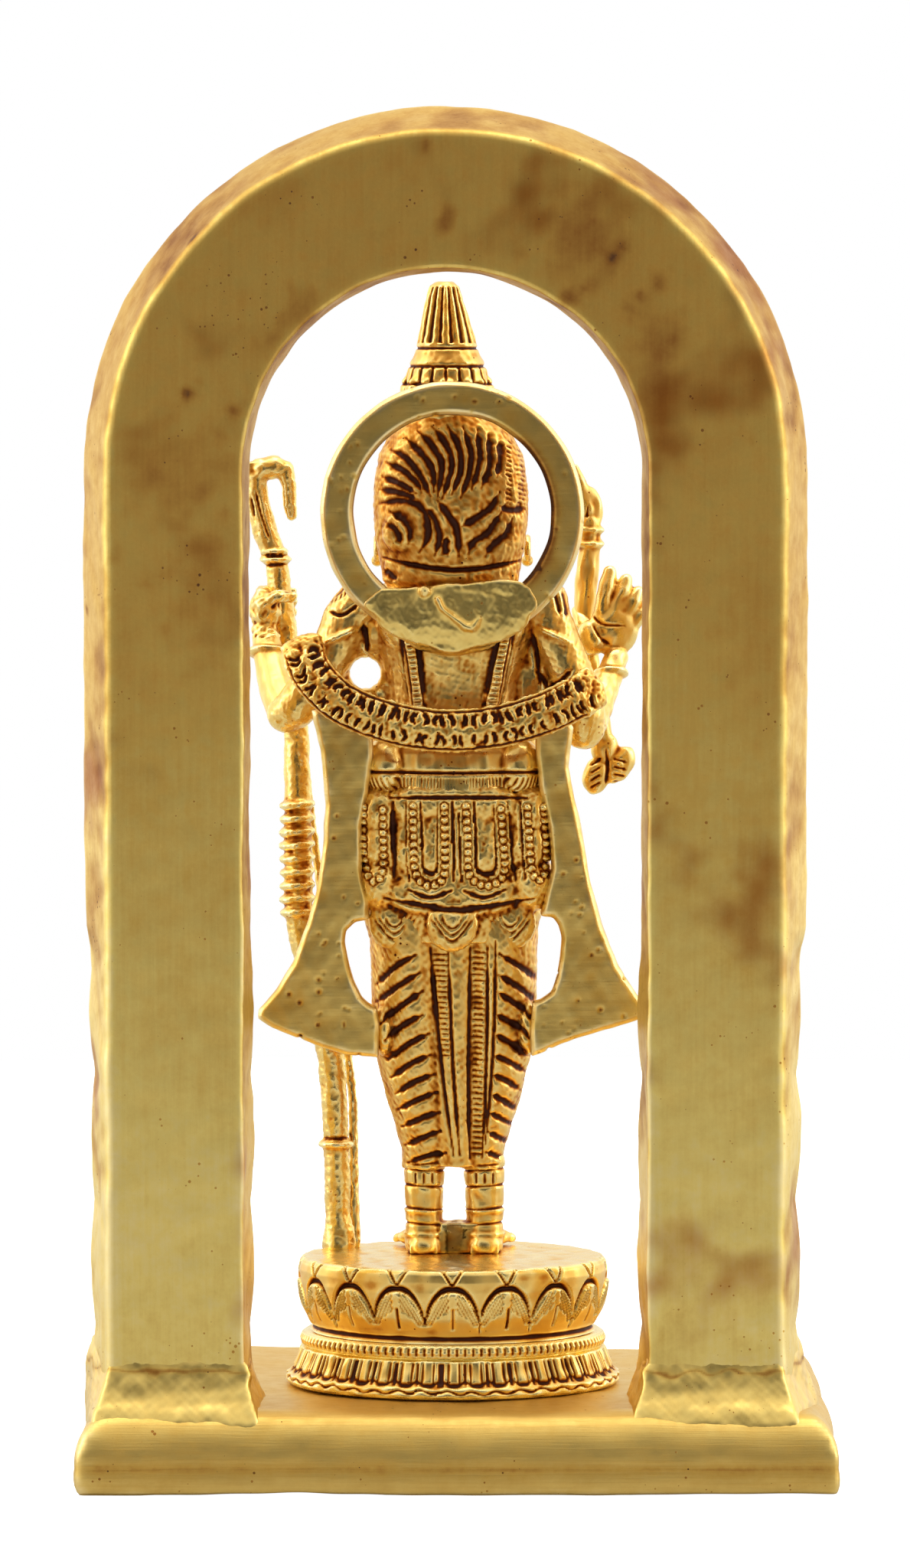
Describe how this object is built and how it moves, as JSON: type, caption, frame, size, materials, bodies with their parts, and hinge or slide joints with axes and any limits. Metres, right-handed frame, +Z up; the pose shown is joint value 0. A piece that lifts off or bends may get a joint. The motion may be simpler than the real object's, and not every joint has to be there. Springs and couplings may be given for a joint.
{
  "type": "brass figure statue",
  "caption": "Cast brass shelf statue of a standing bow bearer with halo, shawl, bow and arrow, on an oval lotus pedestal and stepped base, inside a plain arch frame.",
  "frame": {"origin": "middle of the underside of the base plate, where it rests on a shelf", "axes": "+Z up; the figure faces -Y and the arch stands behind it at +Y; +X is the figure's left hand, which holds the bow"},
  "size_m": [0.1052, 0.071, 0.1903],
  "materials": {
    "cast_brass": "chased and hand polished cast brass with dark brown patina left in the grooves",
    "filed_brass": "filed flat brass with fine file lines, olive tarnish and brown stains",
    "braze": "rough dark brown brazing metal with bright specks"
  },
  "bodies": {
    "root": {"base_plate": "filed_brass", "arch": "filed_brass", "arch_left_braze": "braze", "arch_right_braze": "braze", "pedestal_foot": "cast_brass", "pedestal_band": "cast_brass", "lotus_bowl": "cast_brass", "lotus_seat": "cast_brass", "left_foot": "cast_brass", "right_foot": "cast_brass", "left_anklet": "cast_brass", "right_anklet": "cast_brass", "left_leg": "cast_brass", "right_leg": "cast_brass", "back_pleat": "cast_brass", "front_pleat": "cast_brass", "hips": "cast_brass", "back_apron": "filed_brass", "front_apron": "cast_brass", "belt": "cast_brass", "belt_clasp": "cast_brass", "torso": "cast_brass", "left_back_strap": "filed_brass", "right_back_strap": "filed_brass", "necklace": "cast_brass", "head": "cast_brass", "hair": "cast_brass", "crown": "cast_brass", "left_earring": "cast_brass", "right_earring": "cast_brass", "halo_ring": "filed_brass", "halo_braze": "braze", "left_upper_arm": "cast_brass", "left_forearm": "cast_brass", "right_upper_arm": "cast_brass", "right_forearm": "cast_brass", "left_armlet": "cast_brass", "right_armlet": "cast_brass", "left_bracelet": "cast_brass", "right_bracelet": "cast_brass", "shawl_band": "filed_brass", "shawl_left_tail": "filed_brass", "shawl_right_tail": "filed_brass", "bow": "cast_brass", "bow_string": "cast_brass", "arrow": "cast_brass"}
  },
  "joints": []
}
